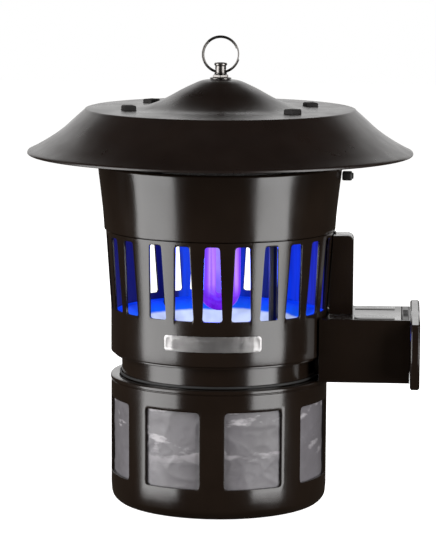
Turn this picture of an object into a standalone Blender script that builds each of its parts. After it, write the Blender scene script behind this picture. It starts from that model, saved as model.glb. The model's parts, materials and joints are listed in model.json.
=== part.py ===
"""Lamp-and-fan insect trap that hangs from a ring or slides on to a wall plate.

The axis of the round housing is Z and the flat base is at Z = 0. The wall arm points along +X and the
nameplate faces -Y. Sizes are in millimetres, and the helpers turn them into metres.
"""

import math

import bmesh
import bpy
from mathutils import Matrix

MM = 0.001
GAP = 0.3

# Round shells
ROUND_STEPS = 48
COARSE_STEPS = 40
SLOTTED_STEPS = 72
SMALL_STEPS = 20

# Roof and hanging ring
ROOF_RADIUS = 140.0
ROOF_RIM_Z = 256.0
ROOF_SHELF_Z = 288.5
ROOF_TOP_Z = 309.5
ROOF_WALL = 2.2
POST_RADIUS_FROM_AXIS = 69.0
ROOF_POST_ANGLES = (20.9, 141.4, 200.9, 321.4)
ROOF_POST_WIDTH = 9.4
ROOF_POST_TOP_Z = 293.2
RING_WIRE = 1.15
RING_RADIUS = 12.7
EYELET_HOLE_Z = 315.4
EYELET_HOLE = 2.1
STUD_RADIUS = 2.95

# Upper housing
BAND_BOTTOM_Z = 201.3
BAND_TOP_Z = 248.8
BAND_WALL = 2.4
BAND_FLANGE_RADIUS = 58.0
TRAY_FLOOR_Z = 203.3

# Light cage: the slotted ring above the plain nameplate band
CAGE_RING_BOTTOM_Z = 111.3
BAND_RADIUS = 80.4
SLOT_BOTTOM_Z = 143.8
SLOT_TOP_Z = 197.5
SLOT_WIDTH_BOTTOM = 14.3
SLOT_WIDTH_TOP = 11.2
SLOT_PITCH = 15.0
WIDE_RIB_END = 48.5
CLOSE_SLOTS_END = 135.0
CLOSE_SLOT_STEPS = 6
TIE_POST_ANGLES = (-52.5, 52.5, 127.5, 223.0)
RIB_RADIUS_TOP = 83.0

# Lamp
LAMP_TUBE_RADIUS = 6.3
LAMP_LEG_X = 9.0
LAMP_BEND_Z = 155.5
LAMP_TOP_Z = 201.5
LAMP_BASE_HALF = (16.0, 8.5)

# Funnel, neck and fan
NECK_RADIUS = 71.3
NECK_BOTTOM_Z = 87.9
NECK_PLATE_LOW_Z = 109.4
NECK_TOP_Z = 111.0
NECK_FLANGE_RADIUS = 76.6
THROAT_RADIUS = 56.0
FAN_DUCT_RADIUS = 60.5
FAN_TIP_RADIUS = 58.6
FAN_BLADES = 7
FAN_HUB_RADIUS = 19.5
SHAFT_RADIUS = 1.8
BEARING_BORE = 1.88

# Retaining cage and its bayonet
CAGE_TOP_Z = 94.2
CAGE_FLANGE_RADIUS = 72.0
WINDOW_COUNT = 8
WINDOW_LOW_Z = 22.6
WINDOW_HIGH_Z = 78.5
WINDOW_WIDTH = 43.4
LUG_COUNT = 4
LUG_ANGLE = 45.0
LUG_RADIUS = 73.5
LUG_WIDTH = 12.0

# Wall arm, spine and wall plate
ARM_HALF_DEPTH = 33.5
ARM_LOW_Z = 94.0
ARM_HIGH_Z = 140.0
ARM_END_X = 139.3
ARM_WALL = 2.6
ARM_END_WALL = 5.0
ARM_CLEAR_RADIUS = 81.2
LATCH_LOW_X = 133.3
LATCH_LOW_Z = 130.2
SPRING_SEAT_Z = 126.3
SPRING_HIGH_Z = 136.9
SPRING_X = 136.2
SPRING_Y = 18.0
PLATE_HALF_WIDTH = 60.0
PLATE_FACE_X = 146.5
PLATE_HIGH_Z = 141.0
TONGUE_NECK_HALF = 10.0
TONGUE_HEAD_HALF = 15.0
TONGUE_LOW_Z = 98.1
TONGUE_HIGH_Z = 122.2
SPINE_HALF_WIDTH = 11.0
SPINE_OUTER_X = 97.6
SPINE_TOP_Z = 197.8
SPINE_SCREW_HEIGHTS = (155.5, 183.5)


def clear_scene():
    for obj in list(bpy.data.objects):
        bpy.data.objects.remove(obj, do_unlink=True)


def make_collection(name):
    collection = bpy.data.collections.new(name)
    bpy.context.scene.collection.children.link(collection)
    return collection


def make_material(name, colour, roughness, metallic=0.0, transmission=0.0):
    material = bpy.data.materials.new(name)
    material.use_nodes = True
    shader = material.node_tree.nodes["Principled BSDF"]
    shader.inputs["Base Color"].default_value = (*colour, 1.0)
    shader.inputs["Roughness"].default_value = roughness
    shader.inputs["Metallic"].default_value = metallic
    shader.inputs["Transmission Weight"].default_value = transmission
    return material


def make_materials():
    return {
        "bronze_plastic": make_material("bronze_plastic", (0.030, 0.024, 0.021), 0.34),
        "inner_plastic": make_material("inner_plastic", (0.018, 0.016, 0.016), 0.55),
        "white_plastic": make_material("white_plastic", (0.78, 0.78, 0.75), 0.4),
        "catalyst_coating": make_material("catalyst_coating", (0.86, 0.87, 0.90), 0.6),
        "bright_steel": make_material("bright_steel", (0.55, 0.55, 0.56), 0.25, 1.0),
        "copper_winding": make_material("copper_winding", (0.62, 0.28, 0.12), 0.4, 1.0),
        "circuit_board": make_material("circuit_board", (0.03, 0.16, 0.07), 0.5),
        "lamp_glass": make_material("lamp_glass", (0.45, 0.35, 0.95), 0.15, 0.0, 0.3),
        "screen_cloth": make_material("screen_cloth", (0.32, 0.32, 0.31), 0.7),
        "seal_rubber": make_material("seal_rubber", (0.02, 0.02, 0.02), 0.8),
        "plate_silver": make_material("plate_silver", (0.60, 0.60, 0.60), 0.35, 0.8),
    }


def add_part(name, mesh, material):
    obj = bpy.data.objects.new(name, mesh)
    mesh.materials.clear()
    mesh.materials.append(MATERIALS[material])
    PARTS.objects.link(obj)
    return obj


def smooth(obj, angle=35.0):
    obj.data.shade_smooth()
    obj.data.set_sharp_from_angle(angle=math.radians(angle))


def turned(name, profile, material, steps=ROUND_STEPS, closed=True, centre=(0.0, 0.0)):
    """A profile of (radius, height) points turned about Z, its outer side listed from top to bottom."""
    mesh = bpy.data.meshes.new(name)
    points = [(radius * MM, 0.0, height * MM) for radius, height in profile]
    edges = [(index, index + 1) for index in range(len(points) - 1)]
    if closed:
        edges.append((len(points) - 1, 0))
    mesh.from_pydata(points, edges, [])
    obj = add_part(name, mesh, material)
    obj.location = (centre[0] * MM, centre[1] * MM, 0.0)
    screw = obj.modifiers.new("turn", "SCREW")
    screw.steps = steps
    screw.render_steps = steps
    screw.use_merge_vertices = True
    screw.merge_threshold = 0.00001
    screw.use_smooth_shade = True
    return obj


def shell_section(outer, wall):
    """The closed section of a shell: the outer line, and the same line set in by the wall thickness."""
    normals = []
    for (r0, z0), (r1, z1) in zip(outer, outer[1:]):
        length = math.hypot(r1 - r0, z1 - z0)
        normals.append(((z1 - z0) / length, -(r1 - r0) / length))
    inner = []
    for index, (radius, height) in enumerate(outer):
        before = normals[max(index - 1, 0)]
        after = normals[min(index, len(normals) - 1)]
        scale = wall / (1.0 + before[0] * after[0] + before[1] * after[1])
        inner.append((radius + (before[0] + after[0]) * scale, height + (before[1] + after[1]) * scale))
    return list(outer) + inner[::-1]


def box_mesh(low, high):
    bm = bmesh.new()
    centre = [(a + b) / 2 * MM for a, b in zip(low, high)]
    size = [(b - a) * MM for a, b in zip(low, high)]
    bmesh.ops.create_cube(bm, size=1.0, matrix=Matrix.Translation(centre) @ Matrix.Diagonal((*size, 1.0)))
    mesh = bpy.data.meshes.new("box")
    bm.to_mesh(mesh)
    bm.free()
    return mesh


def cylinder_mesh(radius, low, high, axis="Z", centre=(0.0, 0.0, 0.0), steps=SMALL_STEPS, top_radius=None):
    """A cylinder, or a cone with top_radius, from low to high along its axis through the centre."""
    turn = {"X": Matrix.Rotation(math.pi / 2, 4, "Y"), "Y": Matrix.Rotation(-math.pi / 2, 4, "X")}
    bm = bmesh.new()
    along = Matrix.Translation((0.0, 0.0, (low + high) / 2 * MM))
    place = Matrix.Translation([value * MM for value in centre]) @ turn.get(axis, Matrix.Identity(4)) @ along
    bmesh.ops.create_cone(
        bm,
        cap_ends=True,
        segments=steps,
        radius1=radius * MM,
        radius2=(radius if top_radius is None else top_radius) * MM,
        depth=(high - low) * MM,
        matrix=place,
    )
    mesh = bpy.data.meshes.new("cylinder")
    bm.to_mesh(mesh)
    bm.free()
    return mesh


def outline_mesh(points, thickness, matrix):
    """A flat outline thickened both ways from its plane, then placed."""
    curve = bpy.data.curves.new("outline", "CURVE")
    curve.dimensions = "2D"
    curve.fill_mode = "BOTH"
    curve.extrude = thickness / 2 * MM
    spline = curve.splines.new("POLY")
    spline.points.add(len(points) - 1)
    for point, (x, y) in zip(spline.points, points):
        point.co = (x * MM, y * MM, 0.0, 1.0)
    spline.use_cyclic_u = True
    return curve_to_mesh(curve, matrix)


def curve_to_mesh(curve, matrix=None):
    holder = bpy.data.objects.new("outline", curve)
    bpy.context.scene.collection.objects.link(holder)
    evaluated = holder.evaluated_get(bpy.context.evaluated_depsgraph_get())
    mesh = bpy.data.meshes.new_from_object(evaluated)
    bpy.data.objects.remove(holder, do_unlink=True)
    bm = bmesh.new()
    bm.from_mesh(mesh)
    bmesh.ops.remove_doubles(bm, verts=bm.verts, dist=0.00001)
    bmesh.ops.recalc_face_normals(bm, faces=bm.faces)
    if matrix:
        bm.transform(matrix)
    bm.to_mesh(mesh)
    bm.free()
    return mesh


def tube_mesh(points, radius, resolution=2):
    curve = bpy.data.curves.new("tube", "CURVE")
    curve.dimensions = "3D"
    curve.bevel_depth = radius * MM
    curve.bevel_resolution = resolution
    curve.use_fill_caps = True
    spline = curve.splines.new("POLY")
    spline.points.add(len(points) - 1)
    for point, place in zip(spline.points, points):
        point.co = (*[value * MM for value in place], 1.0)
    return curve_to_mesh(curve)


def turn_about_z(degrees):
    return Matrix.Rotation(math.radians(degrees), 4, "Z")


def copies_round(mesh, angles):
    """One mesh holding a copy of the given one at each angle about Z."""
    bm = bmesh.new()
    for angle in angles:
        first = len(bm.verts)
        bm.from_mesh(mesh)
        bm.verts.ensure_lookup_table()
        bmesh.ops.transform(bm, matrix=turn_about_z(angle), verts=bm.verts[first:])
    ring = bpy.data.meshes.new("ring")
    bm.to_mesh(ring)
    bm.free()
    return ring


def rounded_outline(low, high, radius, steps=3):
    """A rectangle's corner points with round corners, anticlockwise."""
    points = []
    corners = (
        (high[0] - radius, high[1] - radius, 0),
        (low[0] + radius, high[1] - radius, 90),
        (low[0] + radius, low[1] + radius, 180),
        (high[0] - radius, low[1] + radius, 270),
    )
    for x, y, start in corners:
        for step in range(steps + 1):
            angle = math.radians(start + 90 * step / steps)
            points.append((x + radius * math.cos(angle), y + radius * math.sin(angle)))
    return points


def boolean(target, mesh, operation="DIFFERENCE"):
    """Cut the target with a mesh in world space, or join it, through a cutter object."""
    cutter = bpy.data.objects.new(target.name + "_cutter", mesh)
    cutter.hide_render = True
    cutter.display_type = "WIRE"
    CUTTERS.objects.link(cutter)
    modifier = target.modifiers.new(operation.lower(), "BOOLEAN")
    modifier.operation = operation
    modifier.object = cutter
    return cutter


def bevel(obj, width, segments=1):
    modifier = obj.modifiers.new("edge", "BEVEL")
    modifier.width = width * MM
    modifier.segments = segments
    modifier.limit_method = "ANGLE"
    modifier.angle_limit = math.radians(50)


def add_pivot(name, x=0.0, y=0.0, z=0.0):
    pivot = bpy.data.objects.new(name, None)
    pivot.location = (x * MM, y * MM, z * MM)
    pivot.empty_display_size = 0.01
    PARTS.objects.link(pivot)
    return pivot


def carry(pivot, *objects):
    """Parent the objects to a joint's empty and keep them where they are."""
    for obj in objects:
        obj.parent = pivot
        obj.matrix_parent_inverse = Matrix.Translation(pivot.location).inverted()


def upright_plane(degrees=0.0):
    """Turns an outline's own X and Y into the radial direction at an angle, and Z."""
    return turn_about_z(degrees) @ Matrix.Rotation(math.pi / 2, 4, "X")


# ---------------------------------------------------------------- roof


def make_roof():
    outer = [
        (STUD_RADIUS + 0.45, ROOF_TOP_Z),
        (8.0, ROOF_TOP_Z - 0.1),
        (14.0, 308.5),
        (21.0, 305.6),
        (27.5, 302.2),
        (39.0, 295.0),
        (46.0, 291.4),
        (54.0, 289.6),
        (97.2, ROOF_SHELF_Z),
        (98.8, 287.4),
        (108.0, 278.8),
        (118.0, 270.6),
        (131.2, 262.3),
        (ROOF_RADIUS - 1.6, 258.8),
        (ROOF_RADIUS, 257.6),
        (ROOF_RADIUS, ROOF_RIM_Z),
    ]
    roof = turned("roof_cover", shell_section(outer, ROOF_WALL), "bronze_plastic", COARSE_STEPS)
    half_width = ROOF_POST_WIDTH / 2 + 0.4
    hole = box_mesh(
        (POST_RADIUS_FROM_AXIS - 4.9, -half_width, 281.0),
        (POST_RADIUS_FROM_AXIS + 4.9, half_width, 296.0),
    )
    boolean(roof, copies_round(hole, ROOF_POST_ANGLES))
    for number, angle in enumerate(ROOF_POST_ANGLES, start=1):
        make_roof_post(f"roof_clip_post_{number}", angle)


def make_roof_post(name, angle):
    """A post on the housing's top flange: the roof rests on its shoulder, and its head stands above the roof."""
    middle = POST_RADIUS_FROM_AXIS
    shoulder_z = 286.2
    outline = [
        (middle - 7.0, BAND_TOP_Z + GAP),
        (middle + 7.0, BAND_TOP_Z + GAP),
        (middle + 7.0, shoulder_z),
        (middle + 4.5, shoulder_z),
        (middle + 4.5, ROOF_POST_TOP_Z - 0.8),
        (middle + 3.7, ROOF_POST_TOP_Z),
        (middle - 3.7, ROOF_POST_TOP_Z),
        (middle - 4.5, ROOF_POST_TOP_Z - 0.8),
        (middle - 4.5, shoulder_z),
        (middle - 7.0, shoulder_z),
    ]
    add_part(name, outline_mesh(outline, ROOF_POST_WIDTH, upright_plane(angle)), "inner_plastic")


def make_hanging_ring():
    eyelet_top = 321.5
    profile = [
        (0.0, eyelet_top),
        (4.1, eyelet_top),
        (4.7, eyelet_top - 0.7),
        (4.7, 313.1),
        (STUD_RADIUS, 313.1),
        (STUD_RADIUS, 297.0),
        (0.0, 297.0),
    ]
    eyelet = turned("hanging_eyelet", profile, "bright_steel", SMALL_STEPS, closed=False)
    hole = cylinder_mesh(EYELET_HOLE, -8.0, 8.0, "X", (0.0, 0.0, EYELET_HOLE_Z), 16)
    boolean(eyelet, hole)

    hole_radius = STUD_RADIUS + GAP
    nut = [(hole_radius, 312.8), (7.2, 312.8), (7.8, 312.2), (7.8, 309.9), (hole_radius, 309.9)]
    turned("eyelet_flange_nut", nut, "bright_steel", SMALL_STEPS)
    washer = [(hole_radius, 306.4), (7.4, 306.4), (7.4, 305.0), (hole_radius, 305.0)]
    turned("eyelet_washer", washer, "bright_steel", SMALL_STEPS)
    lock_nut = add_part("eyelet_lock_nut", cylinder_mesh(5.8, 300.3, 304.7, steps=6), "bright_steel")
    boolean(lock_nut, cylinder_mesh(hole_radius, 296.0, 308.0))

    bpy.ops.mesh.primitive_torus_add(
        major_segments=28,
        minor_segments=6,
        major_radius=RING_RADIUS * MM,
        minor_radius=RING_WIRE * MM,
        rotation=(math.pi / 2, 0.0, 0.0),
    )
    torus = bpy.context.object
    torus.data.transform(Matrix.Translation((0.0, 0.0, (EYELET_HOLE_Z - 0.6 + RING_RADIUS) * MM))
                         @ torus.matrix_basis)
    ring = add_part("hanging_ring", torus.data, "bright_steel")
    bpy.data.objects.remove(torus, do_unlink=True)
    carry(add_pivot("ring_pivot", z=EYELET_HOLE_Z), ring)


# ---------------------------------------------------------------- upper housing


def make_upper_band():
    outer = [
        (BAND_FLANGE_RADIUS, BAND_TOP_Z),
        (87.0, BAND_TOP_Z),
        (88.8, BAND_TOP_Z - 2.0),
        (88.4, 241.5),
        (86.6, 226.0),
        (85.2, 212.0),
        (84.2, BAND_BOTTOM_Z),
    ]
    turned("upper_band", shell_section(outer, BAND_WALL), "bronze_plastic", COARSE_STEPS)

    gland = add_part("cord_gland", box_mesh((84.0, -6.0, 237.4), (97.0, 6.0, 243.4)), "inner_plastic")
    boolean(gland, cylinder_mesh(89.2, 225.0, 255.0, steps=ROUND_STEPS))
    boolean(gland, cylinder_mesh(2.0, 91.0, 99.0, "X", (0.0, 0.0, 240.4), 12))


def make_tray():
    """The tray over the lamp chamber, with the lamp's opening, carries the lampholder and the circuit."""
    profile = [
        (0.0, TRAY_FLOOR_Z),
        (75.6, TRAY_FLOOR_Z),
        (75.6, 209.2),
        (81.0, 209.2),
        (81.0, 207.2),
        (78.4, 207.2),
        (78.4, BAND_BOTTOM_Z),
        (0.0, BAND_BOTTOM_Z),
    ]
    tray = turned("lamp_tray", profile, "white_plastic", COARSE_STEPS, closed=False)
    half_x, half_y = LAMP_BASE_HALF
    boolean(tray, box_mesh((-half_x - 1, -half_y - 2, 199.0), (half_x + 1, half_y + 2, 206.0)))

    socket = add_part("lamp_socket", box_mesh((-19.5, -13.0, 203.6), (19.5, 13.0, 234.8)), "white_plastic")
    boolean(socket, box_mesh((-half_x - 0.6, -half_y - 0.6, 199.0), (half_x + 0.6, half_y + 0.6, 221.3)))
    pin_holes = copies_round(cylinder_mesh(1.7, 214.0, 229.0, centre=(10.5, 0.0, 0.0), steps=12), (0, 180))
    boolean(socket, pin_holes)

    floor = TRAY_FLOOR_Z + GAP
    add_part("ballast_board", box_mesh((24.0, -30.0, floor + 3), (60.0, 30.0, floor + 4.6)), "circuit_board")
    add_part("ballast_coil", box_mesh((30.0, -26.0, floor + 4.9), (50.0, -6.0, 225.8)), "copper_winding")
    turned(
        "ballast_capacitor",
        [(0.0, 230.8), (6.0, 230.8), (6.5, 230.3), (6.5, floor + 4.9), (0.0, floor + 4.9)],
        "inner_plastic",
        12,
        closed=False,
        centre=(44.0, 14.0),
    )
    add_part("fan_supply", box_mesh((-58.0, -20.0, floor), (-24.0, 20.0, 230.8)), "inner_plastic")
    add_part("terminal_block", box_mesh((-12.0, 36.0, floor), (12.0, 48.0, 214.8)), "white_plastic")


# ---------------------------------------------------------------- light cage and lamp


def slot_azimuths():
    """Places of the slots in degrees from the front, positive towards the arm.

    They keep one pitch, with plain wall behind the spine, but beyond the wider rib of the left front post
    they stand a little closer."""
    azimuths = [SLOT_PITCH * step for step in range(-2, 13) if step != 6]
    azimuths += [-SLOT_PITCH * 10, -SLOT_PITCH * 11]
    step_angle = (CLOSE_SLOTS_END - WIDE_RIB_END) / CLOSE_SLOT_STEPS
    azimuths += [-WIDE_RIB_END - step_angle * step for step in range(CLOSE_SLOT_STEPS + 1)]
    return azimuths


def make_light_cage():
    bottom = CAGE_RING_BOTTOM_Z
    profile = [
        (79.0, 206.8),
        (81.2, 206.8),
        (81.2, BAND_BOTTOM_Z - 0.4),
        (RIB_RADIUS_TOP, BAND_BOTTOM_Z - 0.4),
        (RIB_RADIUS_TOP, SLOT_TOP_Z + 0.5),
        (BAND_RADIUS, SLOT_BOTTOM_Z - 0.4),
        (BAND_RADIUS, bottom + 1.0),
        (BAND_RADIUS - 1.0, bottom),
        (73.8, bottom),
        (73.8, bottom + 2.2),
        (78.0, bottom + 2.2),
        (78.2, SLOT_BOTTOM_Z),
        (80.4, SLOT_TOP_Z + 0.5),
    ]
    cage = turned("light_cage", profile, "bronze_plastic", SLOTTED_STEPS)
    slot = outline_mesh(
        [
            (-SLOT_WIDTH_BOTTOM / 2, SLOT_BOTTOM_Z),
            (SLOT_WIDTH_BOTTOM / 2, SLOT_BOTTOM_Z),
            (SLOT_WIDTH_TOP / 2, SLOT_TOP_Z),
            (-SLOT_WIDTH_TOP / 2, SLOT_TOP_Z),
        ],
        20.0,
        Matrix.Translation((0.0, -81.0 * MM, 0.0)) @ Matrix.Rotation(math.pi / 2, 4, "X"),
    )
    boolean(cage, copies_round(slot, slot_azimuths()))

    plate_ring = [(80.7, 133.4), (81.4, 133.4), (81.4, 122.2), (80.7, 122.2)]
    nameplate = turned("blank_nameplate", plate_ring, "plate_silver", SLOTTED_STEPS)
    boolean(nameplate, box_mesh((-34.5, -90.0, 115.0), (34.5, -60.0, 140.0)), "INTERSECT")

    post = cylinder_mesh(3.5, NECK_TOP_Z + GAP, BAND_BOTTOM_Z - GAP, steps=12)
    for number, angle in enumerate(TIE_POST_ANGLES, start=1):
        tie_post = add_part(f"tie_post_{number}", post.copy(), "inner_plastic")
        tie_post.location = (*post_place(angle), 0.0)
        smooth(tie_post)


def post_place(angle):
    radius = POST_RADIUS_FROM_AXIS * MM
    return radius * math.cos(math.radians(angle)), radius * math.sin(math.radians(angle))


def make_lamp():
    arc_steps = 8
    left_leg = [(-LAMP_LEG_X, 0.0, LAMP_TOP_Z)]
    bend = []
    for step in range(arc_steps + 1):
        angle = math.pi + math.pi * step / arc_steps
        bend.append((LAMP_LEG_X * math.cos(angle), 0.0, LAMP_BEND_Z + LAMP_LEG_X * math.sin(angle)))
    right_leg = [(LAMP_LEG_X, 0.0, LAMP_TOP_Z)]
    tube = add_part("uv_lamp_tube", tube_mesh(left_leg + bend + right_leg, LAMP_TUBE_RADIUS), "lamp_glass")
    smooth(tube)

    half_x, half_y = LAMP_BASE_HALF
    base = add_part("lamp_base", box_mesh((-half_x, -half_y, 201.8), (half_x, half_y, 218.8)), "white_plastic")
    pins = copies_round(cylinder_mesh(1.2, 216.0, 225.8, centre=(10.5, 0.0, 0.0), steps=8), (0, 180))
    boolean(base, pins, "UNION")
    carry(add_pivot("lamp_slide", z=201.8), tube, base)


# ---------------------------------------------------------------- funnel, neck and fan


def make_funnel():
    profile = [
        (69.6, 139.0),
        (77.6, 139.0),
        (77.6, 137.4),
        (70.6, 137.4),
        (THROAT_RADIUS + 1.6, 120.0),
        (THROAT_RADIUS + 1.6, NECK_TOP_Z + GAP),
        (THROAT_RADIUS, NECK_TOP_Z + GAP),
        (THROAT_RADIUS, 120.6),
    ]
    funnel = turned("coated_funnel", profile, "catalyst_coating", COARSE_STEPS)
    for angle in TIE_POST_ANGLES:
        x, y = post_place(angle)
        boolean(funnel, cylinder_mesh(3.9, 105.0, 145.0, centre=(x / MM, y / MM, 0.0), steps=12))


def make_fan_guard():
    """Flat finger guard across the throat: a rim and a middle disc joined by eight spokes."""
    low, high = 111.6, 113.0
    rim = [(52.9, high), (55.4, high), (55.4, low), (52.9, low)]
    guard = turned("fan_guard", rim, "inner_plastic", 24)
    boolean(guard, cylinder_mesh(12.0, low, high, steps=16), "UNION")
    bar = box_mesh((-54.0, -1.2, low + 0.2), (54.0, 1.2, high - 0.2))
    for angle in (22.5, 67.5, 112.5, 157.5):
        boolean(guard, copies_round(bar, (angle,)), "UNION")


def join_part(target, part):
    """Join a whole object, modifiers and all, to the target."""
    PARTS.objects.unlink(part)
    CUTTERS.objects.link(part)
    part.hide_render = True
    part.display_type = "WIRE"
    modifier = target.modifiers.new("union", "BOOLEAN")
    modifier.operation = "UNION"
    modifier.object = part


def make_neck():
    radius = NECK_RADIUS
    profile = [
        (64.5, NECK_TOP_Z),
        (NECK_FLANGE_RADIUS, NECK_TOP_Z),
        (NECK_FLANGE_RADIUS, NECK_PLATE_LOW_Z),
        (radius, NECK_PLATE_LOW_Z),
        (radius, NECK_BOTTOM_Z),
        (radius - 2.4, NECK_BOTTOM_Z),
        (radius - 2.4, NECK_PLATE_LOW_Z),
        (64.5, NECK_PLATE_LOW_Z),
    ]
    neck = turned("neck_housing", profile, "bronze_plastic")
    lug = box_mesh((radius - 1.2, -LUG_WIDTH / 2, 88.3), (LUG_RADIUS, LUG_WIDTH / 2, 91.3))
    boolean(neck, copies_round(lug, lug_angles()), "UNION")


def lug_angles():
    return [LUG_ANGLE + 360.0 / LUG_COUNT * step for step in range(LUG_COUNT)]


def make_fan():
    duct_top = NECK_PLATE_LOW_Z - GAP
    duct = [
        (FAN_DUCT_RADIUS, duct_top),
        (67.6, duct_top),
        (67.6, duct_top - 2.0),
        (63.5, duct_top - 2.0),
        (63.5, 94.0),
        (FAN_DUCT_RADIUS, 94.0),
    ]
    frame = turned("fan_frame", duct, "inner_plastic")
    hub_plate = turned("hub_plate", [(3.0, 96.0), (20.0, 96.0), (20.0, 94.0), (3.0, 94.0)], "inner_plastic", 24)
    join_part(frame, hub_plate)
    for angle in (0, 90, 180, 270):
        strut = copies_round(box_mesh((18.0, -2.5, 94.2), (62.0, 2.5, 95.8)), (angle,))
        boolean(frame, strut, "UNION")

    bearing = [(BEARING_BORE, 97.7), (5.0, 97.7), (5.0, 96.3), (BEARING_BORE, 96.3)]
    turned("motor_bearing", bearing, "bright_steel", 24)
    stator = [(2.4, 107.6), (15.5, 107.6), (15.5, 98.0), (2.4, 98.0)]
    turned("motor_stator", stator, "copper_winding", 24)

    hub = [
        (SHAFT_RADIUS + GAP, 110.8),
        (17.0, 110.8),
        (FAN_HUB_RADIUS, 108.3),
        (FAN_HUB_RADIUS, 99.0),
        (17.0, 99.0),
        (17.0, 108.2),
        (SHAFT_RADIUS + GAP, 108.2),
    ]
    rotor = turned("fan_rotor", hub, "inner_plastic", 28)
    for number in range(FAN_BLADES):
        boolean(rotor, copies_round(blade_mesh(), (360.0 / FAN_BLADES * number,)), "UNION")
    shaft = add_part("fan_shaft", cylinder_mesh(SHAFT_RADIUS, 95.0, 111.2, steps=24), "bright_steel")
    smooth(shaft)
    carry(add_pivot("fan_axis", z=105.0), rotor, shaft)


def blade_mesh():
    """A twisted blade: four-cornered sections wrapped round the axis, from the hub wall to the tip."""
    stations = 5
    thickness = 1.5
    middle_z = 104.9
    bm = bmesh.new()
    sections = []
    for step in range(stations):
        share = step / (stations - 1)
        radius = 18.2 + (FAN_TIP_RADIUS - 18.2) * share
        chord = 15.5 + 10.5 * share
        pitch = math.radians(42.0 - 18.0 * share)
        section = []
        for along, across in ((-1, -1), (1, -1), (1, 1), (-1, 1)):
            sideways = along * chord / 2 * math.cos(pitch) - across * thickness / 2 * math.sin(pitch)
            height = along * chord / 2 * math.sin(pitch) + across * thickness / 2 * math.cos(pitch)
            angle = sideways / radius
            place = (radius * math.cos(angle), radius * math.sin(angle), middle_z + height)
            section.append(bm.verts.new([value * MM for value in place]))
        sections.append(section)
    for inner, outer in zip(sections, sections[1:]):
        for corner in range(4):
            following = (corner + 1) % 4
            bm.faces.new((inner[corner], inner[following], outer[following], outer[corner]))
    bm.faces.new(sections[0])
    bm.faces.new(sections[-1])
    bmesh.ops.recalc_face_normals(bm, faces=bm.faces)
    mesh = bpy.data.meshes.new("blade")
    bm.to_mesh(mesh)
    bm.free()
    return mesh


# ---------------------------------------------------------------- retaining cage


def make_retaining_cage():
    gasket = [(71.7, 96.3), (72.8, 96.3), (72.8, 94.6), (71.7, 94.6)]
    seal = turned("cage_gasket", gasket, "seal_rubber")

    flange_low_z = CAGE_TOP_Z - 2.2
    profile = [
        (0.0, 2.2),
        (70.0, 2.2),
        (75.0, 5.2),
        (77.0, 10.5),
        (77.6, flange_low_z),
        (CAGE_FLANGE_RADIUS, flange_low_z),
        (CAGE_FLANGE_RADIUS, CAGE_TOP_Z),
        (78.9, CAGE_TOP_Z),
        (79.5, CAGE_TOP_Z - 0.6),
        (79.5, CAGE_TOP_Z - 2.4),
        (79.2, CAGE_TOP_Z - 2.7),
        (78.9, 11.0),
        (77.4, 4.9),
        (74.6, 1.7),
        (69.5, 0.0),
        (0.0, 0.0),
    ]
    cage = turned("retaining_cage", profile, "bronze_plastic", closed=False)
    outline = rounded_outline((-WINDOW_WIDTH / 2, WINDOW_LOW_Z), (WINDOW_WIDTH / 2, WINDOW_HIGH_Z), 2.5, 2)
    pane = outline_mesh(
        outline, 16.0, Matrix.Translation((0.0, -78.0 * MM, 0.0)) @ Matrix.Rotation(math.pi / 2, 4, "X")
    )
    pitch = 360.0 / WINDOW_COUNT
    boolean(cage, copies_round(pane, [pitch * (step + 0.5) for step in range(WINDOW_COUNT)]))
    notch = box_mesh((68.5, -LUG_WIDTH / 2 - 1, 88.7), (LUG_RADIUS + 0.5, LUG_WIDTH / 2 + 1, 98.7))
    boolean(cage, copies_round(notch, lug_angles()))

    sleeve_profile = [(76.3, 84.5), (77.1, 84.5), (76.6, 11.5), (75.8, 11.5)]
    sleeve = turned("mesh_sleeve", sleeve_profile, "screen_cloth")
    carry(add_pivot("cage_axis", z=CAGE_TOP_Z), seal, cage, sleeve)


# ---------------------------------------------------------------- wall mount


def make_wall_arm():
    half = ARM_HALF_DEPTH
    low, high = ARM_LOW_Z, ARM_HIGH_Z
    inside_end = ARM_END_X - ARM_END_WALL
    arm = add_part("wall_arm", box_mesh((60.0, -half, low), (ARM_END_X, half, high)), "bronze_plastic")
    boolean(arm, cylinder_mesh(ARM_CLEAR_RADIUS, 85.0, 150.0, steps=2 * ROUND_STEPS))
    inner_half = half - ARM_WALL
    boolean(
        arm,
        box_mesh((50.0, -inner_half, low + ARM_WALL), (inside_end, inner_half, high - ARM_WALL)),
    )
    latch_gap = 0.4
    boolean(
        arm,
        box_mesh(
            (LATCH_LOW_X - latch_gap, -half + 2.3, SPRING_SEAT_Z),
            (ARM_END_X + 5.0, half - 2.3, high + 5.0),
        ),
    )
    slot_half = TONGUE_NECK_HALF + 0.6
    boolean(arm, box_mesh((120.0, -slot_half, 85.0), (145.0, slot_half, TONGUE_HIGH_Z + GAP)))
    head_half = TONGUE_HEAD_HALF + 0.6
    boolean(arm, box_mesh((129.6, -head_half, 85.0), (inside_end, head_half, low + ARM_WALL + 1.0)))

    latch_half = half - 2.3 - latch_gap
    latch_top = high
    latch = add_part(
        "release_latch",
        box_mesh((LATCH_LOW_X, -latch_half, LATCH_LOW_Z), (ARM_END_X - 0.4, latch_half, latch_top)),
        "inner_plastic",
    )
    bevel(latch, 0.6)
    for side in (-1, 1):
        pocket = cylinder_mesh(2.5, 120.0, SPRING_HIGH_Z + GAP, centre=(SPRING_X, side * SPRING_Y, 0.0), steps=12)
        boolean(latch, pocket)
        make_latch_spring(f"latch_spring_{1 if side < 0 else 2}", side * SPRING_Y)
    carry(add_pivot("latch_slide", SPRING_X, 0.0, latch_top), latch)


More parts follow.
